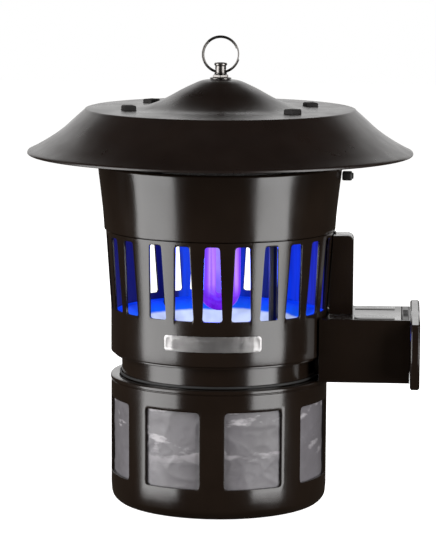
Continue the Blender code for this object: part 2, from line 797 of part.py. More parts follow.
def make_latch_spring(name, y):
    wire = 0.35
    coil_radius = 1.7
    low = SPRING_SEAT_Z + GAP + wire
    high = SPRING_HIGH_Z - wire
    turns = 3
    points_per_turn = 7
    points = []
    for step in range(turns * points_per_turn + 1):
        angle = 2 * math.pi * step / points_per_turn
        height = low + (high - low) * step / (turns * points_per_turn)
        points.append((SPRING_X + coil_radius * math.cos(angle), y + coil_radius * math.sin(angle), height))
    spring = add_part(name, tube_mesh(points, wire, resolution=1), "bright_steel")
    smooth(spring)


def make_wall_plate():
    half = PLATE_HALF_WIDTH
    inner_x = ARM_END_X + GAP
    plate = add_part(
        "wall_plate",
        box_mesh((inner_x, -half, ARM_LOW_Z), (PLATE_FACE_X, half, PLATE_HIGH_Z)),
        "bronze_plastic",
    )
    bevel(plate, 1.2)
    tongue_neck = box_mesh(
        (131.3, -TONGUE_NECK_HALF, TONGUE_LOW_Z),
        (inner_x + 2.0, TONGUE_NECK_HALF, TONGUE_HIGH_Z),
    )
    boolean(plate, tongue_neck, "UNION")
    tongue_head = box_mesh(
        (130.2, -TONGUE_HEAD_HALF, TONGUE_LOW_Z - 0.5),
        (133.9, TONGUE_HEAD_HALF, TONGUE_HIGH_Z - 0.5),
    )
    boolean(plate, tongue_head, "UNION")
    for y in (-49.0, 49.0):
        for z in (105.3, 129.0):
            boolean(plate, cylinder_mesh(2.6, 130.0, 150.0, "X", (0.0, y, z), 16))
    carry(add_pivot("plate_slide", PLATE_FACE_X, 0.0, ARM_LOW_Z), plate)


def make_spine():
    """The upright cable duct on the arm, against the plain rib behind the slots."""
    low_z = ARM_HIGH_Z + GAP
    corner = 3.6
    outline = [(70.0, low_z), (SPINE_OUTER_X, low_z)]
    for step in range(4):
        angle = math.radians(30 * step)
        outline.append((
            SPINE_OUTER_X - corner + corner * math.cos(angle),
            SPINE_TOP_Z - corner + corner * math.sin(angle),
        ))
    outline.append((70.0, SPINE_TOP_Z))
    spine = add_part(
        "mount_spine", outline_mesh(outline, 2 * SPINE_HALF_WIDTH, upright_plane()), "bronze_plastic"
    )
    housing = cylinder_mesh(80.7, 133.0, 203.0, steps=2 * ROUND_STEPS, top_radius=84.0)
    boolean(spine, housing)
    boolean(spine, box_mesh((60.0, -8.2, low_z + 3.0), (94.6, 8.2, SPINE_TOP_Z - 3.0)))
    for number, height in enumerate(SPINE_SCREW_HEIGHTS, start=1):
        boolean(spine, cylinder_mesh(2.1, 92.0, 99.0, "X", (0.0, 0.0, height), 12))
        boolean(spine, cylinder_mesh(3.9, 95.9, 100.0, "X", (0.0, 0.0, height), 16))
        make_spine_screw(f"spine_screw_{number}", height)


def make_spine_screw(name, height):
    head = cylinder_mesh(3.5, 96.2, 97.5, "X", (0.0, 0.0, height), 16)
    screw = add_part(name, head, "bright_steel")
    boolean(screw, cylinder_mesh(1.7, 84.2, 96.7, "X", (0.0, 0.0, height), 12), "UNION")


clear_scene()
PARTS = make_collection("fan_insect_trap")
CUTTERS = make_collection("cutters")
MATERIALS = make_materials()

make_roof()
make_hanging_ring()
make_upper_band()
make_tray()
make_light_cage()
make_lamp()
make_funnel()
make_fan_guard()
make_neck()
make_fan()
make_retaining_cage()
make_wall_arm()
make_wall_plate()
make_spine()
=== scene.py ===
"""Looks of the hanging fan insect trap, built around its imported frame. Sizes are in millimetres."""

import math

import bmesh
import bpy
from mathutils import Matrix, Vector, noise
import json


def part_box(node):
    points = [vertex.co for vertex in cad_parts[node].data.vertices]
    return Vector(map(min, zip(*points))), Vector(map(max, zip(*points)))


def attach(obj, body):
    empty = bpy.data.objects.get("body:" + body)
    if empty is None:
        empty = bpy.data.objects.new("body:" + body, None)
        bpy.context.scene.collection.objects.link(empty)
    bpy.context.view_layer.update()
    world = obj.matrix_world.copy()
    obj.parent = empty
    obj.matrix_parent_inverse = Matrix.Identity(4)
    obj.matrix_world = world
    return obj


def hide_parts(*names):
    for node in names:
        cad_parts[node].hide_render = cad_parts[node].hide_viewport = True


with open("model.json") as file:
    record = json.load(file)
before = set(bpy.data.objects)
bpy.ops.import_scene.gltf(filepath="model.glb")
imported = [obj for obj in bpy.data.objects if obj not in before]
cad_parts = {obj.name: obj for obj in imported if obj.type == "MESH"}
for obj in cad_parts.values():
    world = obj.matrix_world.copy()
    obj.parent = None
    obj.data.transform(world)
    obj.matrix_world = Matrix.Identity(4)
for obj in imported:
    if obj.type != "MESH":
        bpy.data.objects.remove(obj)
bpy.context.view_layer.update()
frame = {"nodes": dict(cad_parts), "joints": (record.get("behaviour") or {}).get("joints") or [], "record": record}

MM = 0.001
ROUND_STEPS = 160
SLOT_PITCH = 15.0
WIDE_RIB_END = 48.5
CLOSE_SLOTS_END = 135.0
WINDOW_COUNT = 8
FRONT_CLIP_DROP = 1.2
BACK_CLIP_DROP = 1.9


# ---------------------------------------------------------------- places taken from the frame


def span(node):
    """The lowest and highest corner of a CAD node in millimetres."""
    low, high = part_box(node)
    return low / MM, high / MM


class Look:
    """A procedural material on a Principled shader, with short calls for its nodes."""

    def __init__(self, name, colour, roughness, **values):
        self.material = bpy.data.materials.new(name)
        self.material.use_nodes = True
        self.tree = self.material.node_tree
        self.shader = self.tree.nodes["Principled BSDF"]
        self.shader.inputs["Base Color"].default_value = (*colour, 1.0)
        self.shader.inputs["Roughness"].default_value = roughness
        for key, value in values.items():
            self.shader.inputs[key.replace("_", " ")].default_value = value
        self.place = self.tree.nodes.new("ShaderNodeTexCoord").outputs["Object"]

    def node(self, kind, **values):
        made = self.tree.nodes.new("ShaderNode" + kind)
        for key, value in values.items():
            made.inputs[key].default_value = value
        return made

    def link(self, source, target):
        self.tree.links.new(source, target)

    def noise(self, scale, detail=4.0, stretch=(1.0, 1.0, 1.0)):
        mapping = self.node("Mapping", Scale=stretch)
        self.link(self.place, mapping.inputs["Vector"])
        texture = self.node("TexNoise", Scale=scale, Detail=detail)
        self.link(mapping.outputs["Vector"], texture.inputs["Vector"])
        return texture.outputs["Fac"]

    def ramp(self, source, stops):
        """A colour ramp over (place, colour) stops."""
        ramp = self.node("ValToRGB")
        self.link(source, ramp.inputs["Fac"])
        elements = ramp.color_ramp.elements
        while len(elements) < len(stops):
            elements.new(0.5)
        for element, (position, colour) in zip(elements, stops):
            element.position = position
            element.color = (*colour, 1.0)
        return ramp.outputs["Color"]

    def spread(self, source, low, high):
        """A value from 0.25..0.75 of a noise, taken to low..high."""
        place = self.node("MapRange")
        for key, value in (("From Min", 0.25), ("From Max", 0.75), ("To Min", low), ("To Max", high)):
            place.inputs[key].default_value = value
        self.link(source, place.inputs["Value"])
        return place.outputs["Result"]

    def vary(self, socket, source, low, high):
        self.link(self.spread(source, low, high), self.shader.inputs[socket])

    def colour(self, source, low, high):
        self.link(self.ramp(source, ((0.3, low), (0.7, high))), self.shader.inputs["Base Color"])

    def bump(self, source, strength, distance=0.0002):
        bump = self.node("Bump", Strength=strength, Distance=distance)
        before = self.shader.inputs["Normal"].links
        if before:
            self.link(before[0].from_socket, bump.inputs["Normal"])
        self.link(source, bump.inputs["Height"])
        self.link(bump.outputs["Normal"], self.shader.inputs["Normal"])

    def along(self, axis, low, high):
        """0 at the low place in millimetres along X, Y or Z, and 1 at the high one."""
        split = self.node("SeparateXYZ")
        self.link(self.place, split.inputs["Vector"])
        level = self.node("MapRange")
        level.inputs["From Min"].default_value = low * MM
        level.inputs["From Max"].default_value = high * MM
        self.link(split.outputs[axis], level.inputs["Value"])
        return level.outputs["Result"]

    def glow(self, colours, strength):
        self.link(colours, self.shader.inputs["Emission Color"])
        self.shader.inputs["Emission Strength"].default_value = strength


def moulded_plastic(name, dark, light, roughness):
    """Moulded plastic with cloudy gloss, faint flow marks and a fine pebble."""
    look = Look(name, dark, roughness)
    clouds = look.noise(28.0)
    look.colour(clouds, dark, light)
    look.vary("Roughness", look.noise(60.0, 6.0, (1.0, 1.0, 0.25)), roughness - 0.05, roughness + 0.06)
    look.bump(look.noise(900.0, 2.0), 0.10)
    look.bump(look.noise(22.0, 1.0), 0.16, 0.0006)
    return look.material


def metal(name, dark, light, roughness, stretch):
    """Plated metal with drawn lines and dull patches."""
    look = Look(name, dark, roughness, Metallic=1.0)
    look.colour(look.noise(90.0), dark, light)
    lines = look.noise(700.0, 3.0, stretch)
    look.vary("Roughness", lines, roughness - 0.08, roughness + 0.12)
    look.bump(lines, 0.12)
    return look.material


def painted_lamp_light(name, dark, axis, stops, strength, scale=45.0, stretch=(1.0, 1.0, 1.0)):
    """Painted lamp light on a surface: a glow that stands in for the lamp's light on it, running through colours
    along an axis in mm, a little patchy.
    """
    look = Look(name, dark, 0.5, Specular_IOR_Level=0.2)
    low, high = stops[0][0], stops[-1][0]
    place = look.along(axis, low, high)
    # Painted lamp light: the glow's colours shift a little in patches.
    light_patch = look.spread(look.noise(scale, 3.0, stretch), -0.04, 0.04)
    add = look.node("Math")
    look.link(place, add.inputs[0])
    look.link(light_patch, add.inputs[1])
    colours = [((level - low) / (high - low), colour) for level, colour in stops]
    look.glow(look.ramp(add.outputs["Value"], colours), strength)
    # Painted lamp light: the glow's strength varies in streaks.
    light_streaks = look.spread(look.noise(scale * 1.4, 2.0, stretch), strength * 0.6, strength * 1.15)
    look.link(light_streaks, look.shader.inputs["Emission Strength"])
    look.bump(look.noise(500.0, 2.0), 0.10)
    return look.material


def lamp_glass(low, high):
    """The lit tube: violet with paler and deeper stripes along its legs, and a deeper glow round the bend."""
    look = Look("lamp_tube", (0.02, 0.01, 0.04), 0.25, Specular_IOR_Level=0.25)
    look.vary("Roughness", look.noise(80.0), 0.2, 0.35)
    stripes = look.ramp(look.noise(260.0, 1.5, (1.0, 1.0, 0.02)), (
        (0.30, (0.14, 0.035, 0.80)), (0.45, (0.27, 0.07, 1.0)), (0.58, (0.45, 0.20, 1.0)),
        (0.70, (0.22, 0.05, 0.95)),
    ))
    deep = look.ramp(look.noise(120.0, 3.0), ((0.35, (0.09, 0.003, 0.50)), (0.65, (0.16, 0.012, 0.78))))
    mix = look.node("MixRGB")
    look.link(look.along("Z", low, high), mix.inputs["Fac"])
    look.link(deep, mix.inputs["Color1"])
    look.link(stripes, mix.inputs["Color2"])
    look.glow(mix.outputs["Color"], 1.15)
    return look.material


def screen_cloth(low, high):
    """Grey woven screen with a fine weave, and pale glints painted into its base colour where it is crumpled,
    mostly in its upper half: painted highlights.
    """
    look = Look("screen_cloth", (0.12, 0.11, 0.12), 0.45, Specular_IOR_Level=0.6)
    look.vary("Roughness", look.noise(150.0), 0.32, 0.5)
    plain = look.ramp(look.noise(26.0, 5.0), ((0.3, (0.105, 0.098, 0.105)), (0.7, (0.15, 0.142, 0.155))))
    crumple = look.noise(34.0, 5.0, (1.0, 1.0, 2.6))
    crease_glints = look.ramp(crumple, ((0.56, (0.0, 0.0, 0.0)), (0.63, (1.0, 1.0, 1.0))))
    # Painted highlights kept mostly to the upper half.
    upper = look.ramp(look.along("Z", low, high), (
        (0.0, (0.0, 0.0, 0.0)), (0.35, (0.05, 0.05, 0.05)), (0.6, (0.9, 0.9, 0.9)),
        (0.95, (0.8, 0.8, 0.8))))
    painted_glint_mask = look.node("Math")
    painted_glint_mask.operation = "MULTIPLY"
    look.link(crease_glints, painted_glint_mask.inputs[0])
    look.link(upper, painted_glint_mask.inputs[1])
    # Painted highlight: the pale glint colour mixed into the base colour.
    mix = look.node("MixRGB", Color2=(0.44, 0.42, 0.44, 1.0))
    look.link(painted_glint_mask.outputs["Value"], mix.inputs["Fac"])
    look.link(plain, mix.inputs["Color1"])
    look.link(mix.outputs["Color"], look.shader.inputs["Base Color"])
    for stretch in ((1.0, 1.0, 0.0), (0.0, 0.0, 1.0)):
        mapping = look.node("Mapping", Scale=stretch)
        look.link(look.place, mapping.inputs["Vector"])
        wave = look.node("TexWave", Scale=420.0, Distortion=0.6)
        look.link(mapping.outputs["Vector"], wave.inputs["Vector"])
        look.bump(wave.outputs["Fac"], 0.25, 0.0002)
    return look.material


def make_materials():
    lamp_low = span("uv_lamp_tube")[0].z
    deck = span("coated_funnel")[1].z
    side = span("light_cage")[1].x
    plastics = {
        "bronze_plastic": ((0.0085, 0.0052, 0.0036), (0.0120, 0.0076, 0.0052), 0.17),
        "roof_plastic": ((0.0085, 0.0052, 0.0042), (0.0125, 0.0078, 0.0062), 0.30),
        "inner_plastic": ((0.0050, 0.0045, 0.0045), (0.0085, 0.0075, 0.0075), 0.38),
        "matt_plastic": ((0.0060, 0.0048, 0.0045), (0.010, 0.008, 0.0075), 0.75),
        "white_plastic": ((0.55, 0.55, 0.56), (0.66, 0.66, 0.66), 0.38),
        "circuit_board": ((0.010, 0.075, 0.030), (0.016, 0.11, 0.045), 0.35),
        "seal_rubber": ((0.008, 0.008, 0.008), (0.014, 0.014, 0.014), 0.6),
    }
    metals = {
        "bright_steel": ((0.10, 0.095, 0.09), (0.22, 0.21, 0.20), 0.26, (1.0, 1.0, 0.1)),
        "copper_winding": ((0.55, 0.22, 0.08), (0.75, 0.36, 0.16), 0.32, (0.2, 0.2, 3.0)),
        "plate_silver": ((0.36, 0.35, 0.35), (0.48, 0.47, 0.47), 0.48, (0.05, 0.05, 1.0)),
    }
    materials = {name: moulded_plastic(name, *look) for name, look in plastics.items()}
    materials.update({name: metal(name, *look) for name, look in metals.items()})
    materials.update({
        "screen_cloth": screen_cloth(span("mesh_sleeve")[0].z, span("mesh_sleeve")[1].z),
        "lamp_glass": lamp_glass(lamp_low + 10.0, lamp_low + 20.0),
        # Painted lamp light on the web between the lamp's legs: a violet glow, paler upward.
        "web_painted_light": painted_lamp_light("web_painted_light", (0.05, 0.04, 0.08), "Z", (
            (lamp_low, (0.10, 0.03, 0.70)), (lamp_low + 30.0, (0.34, 0.20, 0.95)),
            (lamp_low + 60.0, (0.50, 0.36, 1.0))),
            1.0),
        # Painted lamp light on the funnel: a pale blue-white glow low in the funnel and deep blue near the deck.
        "funnel_painted_light": painted_lamp_light("funnel_painted_light", (0.02, 0.03, 0.05), "Z", (
            (deck - 28.0, (0.66, 0.74, 1.0)), (deck - 8.6, (0.58, 0.68, 1.0)),
            (deck - 7.2, (0.0, 0.10, 0.95)),
            (deck, (0.0, 0.035, 0.85))), 1.0),
        # Painted lamp light on the inner faces of the slotted cage and liners: a blue glow whose brightness
        # changes from slot to slot across X.
        "cage_painted_light": painted_lamp_light("cage_painted_light", (0.01, 0.01, 0.02), "X", (
            (-side, (0.004, 0.003, 0.10)), (-0.46 * side, (0.003, 0.004, 0.10)),
            (-0.38 * side, (0.0, 0.045, 0.80)),
            (0.0, (0.0, 0.040, 0.75)), (0.22 * side, (0.0, 0.012, 0.35)), (0.42 * side, (0.0, 0.004, 0.10)),
            (0.58 * side, (0.0, 0.035, 0.85)), (0.80 * side, (0.012, 0.022, 0.50)),
            (side, (0.01, 0.005, 0.16))),
            1.0, 160.0, (1.0, 1.0, 0.06)),
    })
    return materials


# ---------------------------------------------------------------- mesh tools


def add_piece(name, mesh, body, slot, material=None, nodes=()):
    """Put a finished mesh in the scene as a piece that rides on a body and stands for CAD nodes."""
    obj = bpy.data.objects.new(name, mesh)
    bpy.context.scene.collection.objects.link(obj)
    if not mesh.materials:
        mesh.materials.append(MATERIALS[material or slot])
    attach(obj, body)
    if nodes:
        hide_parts(*nodes)
    return obj


def shade(mesh, angle=38.0):
    mesh.shade_smooth()
    mesh.set_sharp_from_angle(angle=math.radians(angle))
    return mesh


def baked(mesh, *modifiers):
    """The mesh after modifiers given as (kind, {setting: value})."""
    holder = bpy.data.objects.new("holder", mesh)
    bpy.context.scene.collection.objects.link(holder)
    for kind, settings in modifiers:
        modifier = holder.modifiers.new(kind.lower(), kind)
        for key, value in settings.items():
            setattr(modifier, key, value)
    evaluated = holder.evaluated_get(bpy.context.evaluated_depsgraph_get())
    result = bpy.data.meshes.new_from_object(evaluated)
    bpy.data.objects.remove(holder, do_unlink=True)
    return result


def bevelled(width, segments=3, angle=40.0):
    return "BEVEL", {
        "width": width * MM,
        "segments": segments,
        "limit_method": "ANGLE",
        "angle_limit": math.radians(angle),
        "harden_normals": False,
    }


def arc_line(points, steps=5):
    """An outline of (x, y, corner radius) points with its corners rounded by arcs."""
    line = []
    last = len(points) - 1
    for index, (x, y, radius) in enumerate(points):
        corner = Vector((x, y))
        if radius <= 0.0 or index in (0, last):
            line.append((x, y))
            continue
        before = (Vector(points[index - 1][:2]) - corner).normalized()
        after = (Vector(points[index + 1][:2]) - corner).normalized()
        half = before.angle(after) / 2
        reach = radius / math.tan(half)
        centre = corner + (before + after).normalized() * (radius / math.sin(half))
        start = corner + before * reach - centre
        end = corner + after * reach - centre
        sweep = start.angle_signed(end)
        for step in range(steps + 1):
            line.append(tuple(centre + Matrix.Rotation(-sweep * step / steps, 2) @ start))
    return line


def spline_line(points, steps=6):
    """A smooth line through the points."""
    line = []
    padded = [points[0], *points, points[-1]]
    for a, b, c, d in zip(padded, padded[1:], padded[2:], padded[3:]):
        for step in range(steps):
            t = step / steps
            line.append(tuple(
                0.5 * (2 * q + (r - p) * t + (2 * p - 5 * q + 4 * r - s) * t * t
                       + (3 * q - p - 3 * r + s) * t ** 3)
                for p, q, r, s in zip(a, b, c, d)
            ))
    line.append(points[-1])
    return line


def thick_line(outer, wall):
    """The closed section of a shell: the outer line and the same line set in by the wall."""
    inner = []
    for index, (radius, height) in enumerate(outer):
        before = Vector(outer[max(index - 1, 0)])
        after = Vector(outer[min(index + 1, len(outer) - 1)])
        along = (after - before).normalized()
        inner.append((radius + along.y * wall, height - along.x * wall))
    return list(outer) + inner[::-1]


def held(section, closed):
    """The section with a point near both ends of each long side, so that shading keeps the side flat."""
    points = list(section) + ([section[0]] if closed else [])
    line = []
    for first, second in zip(points, points[1:]):
        line.append(first)
        start, end = Vector(first), Vector(second)
        length = (end - start).length
        if length > 2.5:
            line.append(tuple(start.lerp(end, 0.35 / length)))
            line.append(tuple(end.lerp(start, 0.35 / length)))
    return line if closed else line + [points[-1]]


def turned(section, closed=True, steps=ROUND_STEPS, centre=(0.0, 0.0)):
    """A section of (radius, height) points turned about the upright through the centre."""
    section = held(section, closed)
    bm = bmesh.new()
    rings = []
    for radius, height in section:
        count = steps if radius > 0.001 else 1
        rings.append([
            bm.verts.new((
                (centre[0] + radius * math.cos(2 * math.pi * step / steps)) * MM,
                (centre[1] + radius * math.sin(2 * math.pi * step / steps)) * MM,
                height * MM,
            ))
            for step in range(count)
        ])
    pairs = list(zip(rings, rings[1:]))
    if closed:
        pairs.append((rings[-1], rings[0]))
    for first, second in pairs:
        for step in range(steps):
            after = (step + 1) % steps
            corners = [
                first[step % len(first)], first[after % len(first)],
                second[after % len(second)], second[step % len(second)],
            ]
            corners = list(dict.fromkeys(corners))
            if len(corners) > 2:
                bm.faces.new(corners)
    return finished(bm)


def finished(bm, angle=38.0):
    bmesh.ops.recalc_face_normals(bm, faces=bm.faces)
    mesh = bpy.data.meshes.new("piece")
    bm.to_mesh(mesh)
    bm.free()
    return shade(mesh, angle)


def radius_at(rows, height):
    for (r0, z0), (r1, z1) in zip(rows, rows[1:]):
        if min(z0, z1) <= height <= max(z0, z1) and z0 != z1:
            return r0 + (r1 - r0) * (height - z0) / (z1 - z0)
    return rows[-1][0]


def pierced_shell(below, wall_rows, above, places, half_width, corner, hole_columns, rib_columns):
    """A round shell with a round-cornered opening at each place, in degrees from the front towards the arm.

    Rows run up the outer side: below the openings, the wall with openings from its first row to its last, and
    above. half_width(height) is half of an opening's width there."""
    corner_steps = 3
    low, high = wall_rows[0][1], wall_rows[-1][1]
    levels = [wall_rows[0][1] + (high - low) * step / 8 for step in range(9)]
    places = sorted(math.radians(place % 360) for place in places)
    gaps = [(after - place) % (2 * math.pi) for place, after in zip(places, places[1:] + places[:1])]
    sectors = list(zip(places, gaps[-1:] + gaps[:-1], gaps))

    def sector_columns(height, radius, gap_before, gap_after):
        half = half_width(height)
        columns = []
        edge = math.asin(half / radius)
        for step in range(rib_columns):
            columns.append((-gap_before / 2 + (gap_before / 2 - edge) * step / rib_columns, 1.0, False))
        for step in range(corner_steps):
            turn = math.radians(90 * step / corner_steps)
            offset = -(half - corner) - corner * math.cos(turn)
            columns.append((math.asin(offset / radius), 1 - math.sin(turn), True))
        for step in range(hole_columns + 1):
            offset = -(half - corner) + 2 * (half - corner) * step / hole_columns
            columns.append((math.asin(offset / radius), 0.0, True))
        for step in range(corner_steps - 1, -1, -1):
            turn = math.radians(90 * step / corner_steps)
            offset = (half - corner) + corner * math.cos(turn)
            columns.append((math.asin(offset / radius), 1 - math.sin(turn), step > 0))
        for step in range(1, rib_columns):
            columns.append((edge + (gap_after / 2 - edge) * step / rib_columns, 1.0, False))
        return columns

    bm = bmesh.new()
    grid, open_row = [], []
    for radius, height in below:
        grid.append((radius, height, min(max(height, low), high), 0.0))
        open_row.append(False)
    for index, height in enumerate(levels):
        shift = corner if index == 0 else -corner if index == len(levels) - 1 else 0.0
        grid.append((None, height, height, shift))
        open_row.append(index < len(levels) - 1)
    for radius, height in above:
        grid.append((radius, height, min(max(height, low), high), 0.0))
        open_row.append(False)

    rings, flags = [], []
    for radius, height, width_height, shift in grid:
        ring, flags = [], []
        for place, gap_before, gap_after in sectors:
            middle = place - math.pi / 2
            reference = radius_at(wall_rows, width_height)
            for angle, share, in_hole in sector_columns(width_height, reference, gap_before, gap_after):
                z = height + shift * share
                r = radius if radius is not None else radius_at(wall_rows, z)
                place = (r * math.cos(middle + angle) * MM, r * math.sin(middle + angle) * MM, z * MM)
                ring.append(bm.verts.new(place))
                flags.append(in_hole)
        rings.append(ring)
    for row, (first, second) in enumerate(zip(rings, rings[1:])):
        for step in range(len(first)):
            if open_row[row] and flags[step]:
                continue
            after = (step + 1) % len(first)
            bm.faces.new((first[step], first[after], second[after], second[step]))
    mesh = bpy.data.meshes.new("shell")
    bm.to_mesh(mesh)
    bm.free()
    return mesh


def solid_shell(mesh, wall, edge):
    solid = ("SOLIDIFY", {"thickness": wall * MM, "offset": -1.0, "use_even_offset": True})
    return shade(baked(mesh, solid, bevelled(edge, 2, 50.0)))


def refined(node, edge, segments=3, angle=40.0, change=None):
    """A finer copy of a CAD node's shape: flat faces made whole again and edges rounded."""
    bm = bmesh.new()
    bm.from_mesh(frame["nodes"][node].data)
    bmesh.ops.remove_doubles(bm, verts=bm.verts, dist=0.000002)
    bmesh.ops.dissolve_limit(bm, angle_limit=math.radians(1.0), verts=bm.verts, edges=bm.edges)
    if change:
        change(bm)
    mesh = bpy.data.meshes.new(node)
    bm.to_mesh(mesh)
    bm.free()
    return shade(baked(mesh, bevelled(edge, segments, angle)))


def rounded_box(low, high, edge=0.6, segments=3):
    bm = bmesh.new()
    centre = [(a + b) / 2 * MM for a, b in zip(low, high)]
    size = [(b - a) * MM for a, b in zip(low, high)]
    bmesh.ops.create_cube(bm, size=1.0, matrix=Matrix.Translation(centre) @ Matrix.Diagonal((*size, 1.0)))
    mesh = bpy.data.meshes.new("box")
    bm.to_mesh(mesh)
    bm.free()
    return shade(baked(mesh, bevelled(edge, segments)))


def joined(*meshes):
    bm = bmesh.new()
    for mesh in meshes:
        bm.from_mesh(mesh)
    mesh = bpy.data.meshes.new("joined")
    bm.to_mesh(mesh)
    bm.free()
    return mesh


def wire(points, radius, resolution=6, cyclic=False):
    """A round wire or tube along a smooth line of points."""
    curve = bpy.data.curves.new("wire", "CURVE")
    curve.dimensions = "3D"
    curve.bevel_depth = radius * MM
    curve.bevel_resolution = resolution
    curve.use_fill_caps = True
    spline = curve.splines.new("POLY")
    spline.points.add(len(points) - 1)
    spline.use_cyclic_u = cyclic
    for point, place in zip(spline.points, points):
        point.co = (*[value * MM for value in place], 1.0)
    holder = bpy.data.objects.new("wire", curve)
    bpy.context.scene.collection.objects.link(holder)
    evaluated = holder.evaluated_get(bpy.context.evaluated_depsgraph_get())
    mesh = bpy.data.meshes.new_from_object(evaluated)
    bpy.data.objects.remove(holder, do_unlink=True)
    bm = bmesh.new()
    bm.from_mesh(mesh)
    bmesh.ops.remove_doubles(bm, verts=bm.verts, dist=0.000005)
    return finished(bm)


# ---------------------------------------------------------------- roof and hanging ring


def make_roof():
    low, high = span("roof_cover")
    radius, rim, top = high.y, low.z, high.z
    shelf = top - 21.0
    bell = spline_line([
        (8.0, top - 0.1), (14.0, top - 1.0), (21.0, top - 3.9), (28.5, top - 7.6), (38.0, top - 12.9),
        (46.0, top - 16.7), (54.0, top - 19.5), (61.0, top - 20.6), (70.0, shelf + 0.15),
    ])
    flare = spline_line([
        (98.9, shelf - 1.2), (103.4, shelf - 5.2), (108.0, shelf - 9.4), (114.0, shelf - 14.8),
        (121.0, shelf - 20.0), (131.0, shelf - 26.2), (radius - 1.9, shelf - 29.9),
    ])
    outer = [(3.4, top), *bell, (97.3, shelf), (98.2, shelf - 0.35), *flare]
    outer += [(radius - 0.4, rim + 1.9), (radius, rim + 1.2), (radius, rim + 0.3), (radius - 0.3, rim)]
    section = outer + [(radius - 2.0, rim), (radius - 2.4, rim + 0.3)]
    inner = thick_line(outer[:-4], 2.1)[len(outer) - 4:]
    roof = turned(section + inner, steps=192)
    holes = bpy.data.meshes.new("holes")
    bm = bmesh.new()
    for number in range(1, 5):
        corner, far = span(f"roof_clip_post_{number}")
        centre = (corner + far) / 2 * MM
        angle = math.atan2(centre.y, centre.x)
        reach = math.hypot(centre.x, centre.y)
        place = Matrix.Rotation(angle, 4, "Z") @ Matrix.Translation((reach, 0.0, shelf * MM))
        bmesh.ops.create_cube(bm, size=1.0, matrix=place @ Matrix.Diagonal((0.0098, 0.0102, 0.020, 1.0)))
    bm.to_mesh(holes)
    bm.free()
    cutter = bpy.data.objects.new("holes", holes)
    cut = shade(baked(roof, ("BOOLEAN", {"object": cutter, "operation": "DIFFERENCE"})))
    bpy.data.objects.remove(cutter)
    add_piece("roof", cut, "housing", "bronze_plastic", "roof_plastic", nodes=["roof_cover"])
    for number in range(1, 5):
        at_back = span(f"roof_clip_post_{number}")[0].y > 0
        drop = BACK_CLIP_DROP if at_back else FRONT_CLIP_DROP
        post = refined(f"roof_clip_post_{number}", 0.55, change=lambda bm, drop=drop: lower_head(bm, drop))
        add_piece(f"roof_clip_{number}", post, "housing", "inner_plastic", "matt_plastic",
                  nodes=[f"roof_clip_post_{number}"])


def lower_head(bm, drop):
    """Bring the top of a clip closer to the shelf by the drop in mm."""
    top = max(vert.co.z for vert in bm.verts)
    for vert in bm.verts:
        if vert.co.z > top - 1.0 * MM:
            vert.co.z -= drop * MM


def make_hanger():
    low, high = span("hanging_eyelet")
    knob_low = span("eyelet_flange_nut")[1].z + 0.3
    top, hole = high.z, RING_AXIS_Z
    knob = arc_line([
        (0.0, top - 0.5, 0), (2.9, top - 0.5, 0.2), (3.2, top, 0.4), (4.3, top, 0.4), (4.7, top - 0.6, 0.4),
        (4.7, top - 1.6, 0.3), (3.9, top - 2.2, 0.4), (4.1, hole + 2.0, 0.6), (4.1, hole - 1.0, 0.6),
        (4.7, knob_low + 0.9, 0.3), (4.5, knob_low, 0.2), (2.9, knob_low, 0.1), (2.9, low.z, 0),
        (0.0, low.z, 0),
    ], 3)
    body = turned(knob, closed=False, steps=48)
    bore = bmesh.new()
    turn = Matrix.Translation((0.0, 0.0, hole * MM)) @ Matrix.Rotation(math.pi / 2, 4, "Y")
    bore_radius = 2.1 * MM
    bmesh.ops.create_cone(bore, cap_ends=True, segments=32, radius1=bore_radius, radius2=bore_radius,
                          depth=0.02, matrix=turn)
    cutter_mesh = bpy.data.meshes.new("bore")
    bore.to_mesh(cutter_mesh)
    bore.free()
    cutter = bpy.data.objects.new("bore", cutter_mesh)
    eyelet = shade(baked(body, ("BOOLEAN", {"object": cutter, "operation": "DIFFERENCE"})), 30.0)
    bpy.data.objects.remove(cutter)
    add_piece("eyelet", eyelet, "housing", "bright_steel", nodes=["hanging_eyelet"])

    low, high = span("eyelet_flange_nut")
    flange = turned(arc_line([
        (3.3, low.z + 1.2, 0), (6.4, low.z + 1.2, 0.1), (7.8, low.z + 0.7, 0.2),
        (7.8, low.z, 0.2), (3.3, low.z, 0),
    ], 3), steps=64)
    hexagon = bmesh.new()
    across, base = 6.2 * MM, (low.z + 1.1) * MM
    tall = (high.z - low.z - 1.1) * MM
    bmesh.ops.create_cone(hexagon, cap_ends=True, segments=6, radius1=across, radius2=across, depth=tall,
                          matrix=Matrix.Translation((0.0, 0.0, base + tall / 2)))
    hex_mesh = bpy.data.meshes.new("hex")
    hexagon.to_mesh(hex_mesh)
    hexagon.free()
    nut = joined(flange, shade(baked(hex_mesh, bevelled(0.3, 2))))
    add_piece("flange_nut", shade(nut), "housing", "bright_steel", nodes=["eyelet_flange_nut"])

    low, high = span("hanging_ring")
    wire_radius = (high.y - low.y) / 2
    major = (high.x - low.x) / 2 - wire_radius
    centre_z = (low.z + high.z) / 2
    strand = wire_radius * 0.54
    points = []
    turns, per_turn = 2, 72
    for step in range(turns * per_turn - 6):
        angle = 2 * math.pi * step / per_turn + math.radians(20)
        share = step / (turns * per_turn - 7)
        side = (share - 0.5) * 2 * strand * 1.04
        reach = major + (0.5 if share > 0.5 else -0.5) * (1 - abs(2 * abs(share - 0.5) - 1) ** 4)
        points.append((reach * math.cos(angle), side, centre_z + reach * math.sin(angle)))
    add_piece("split_ring", wire(points, strand, 4), "hanging_ring", "bright_steel", nodes=["hanging_ring"])


# ---------------------------------------------------------------- upper housing


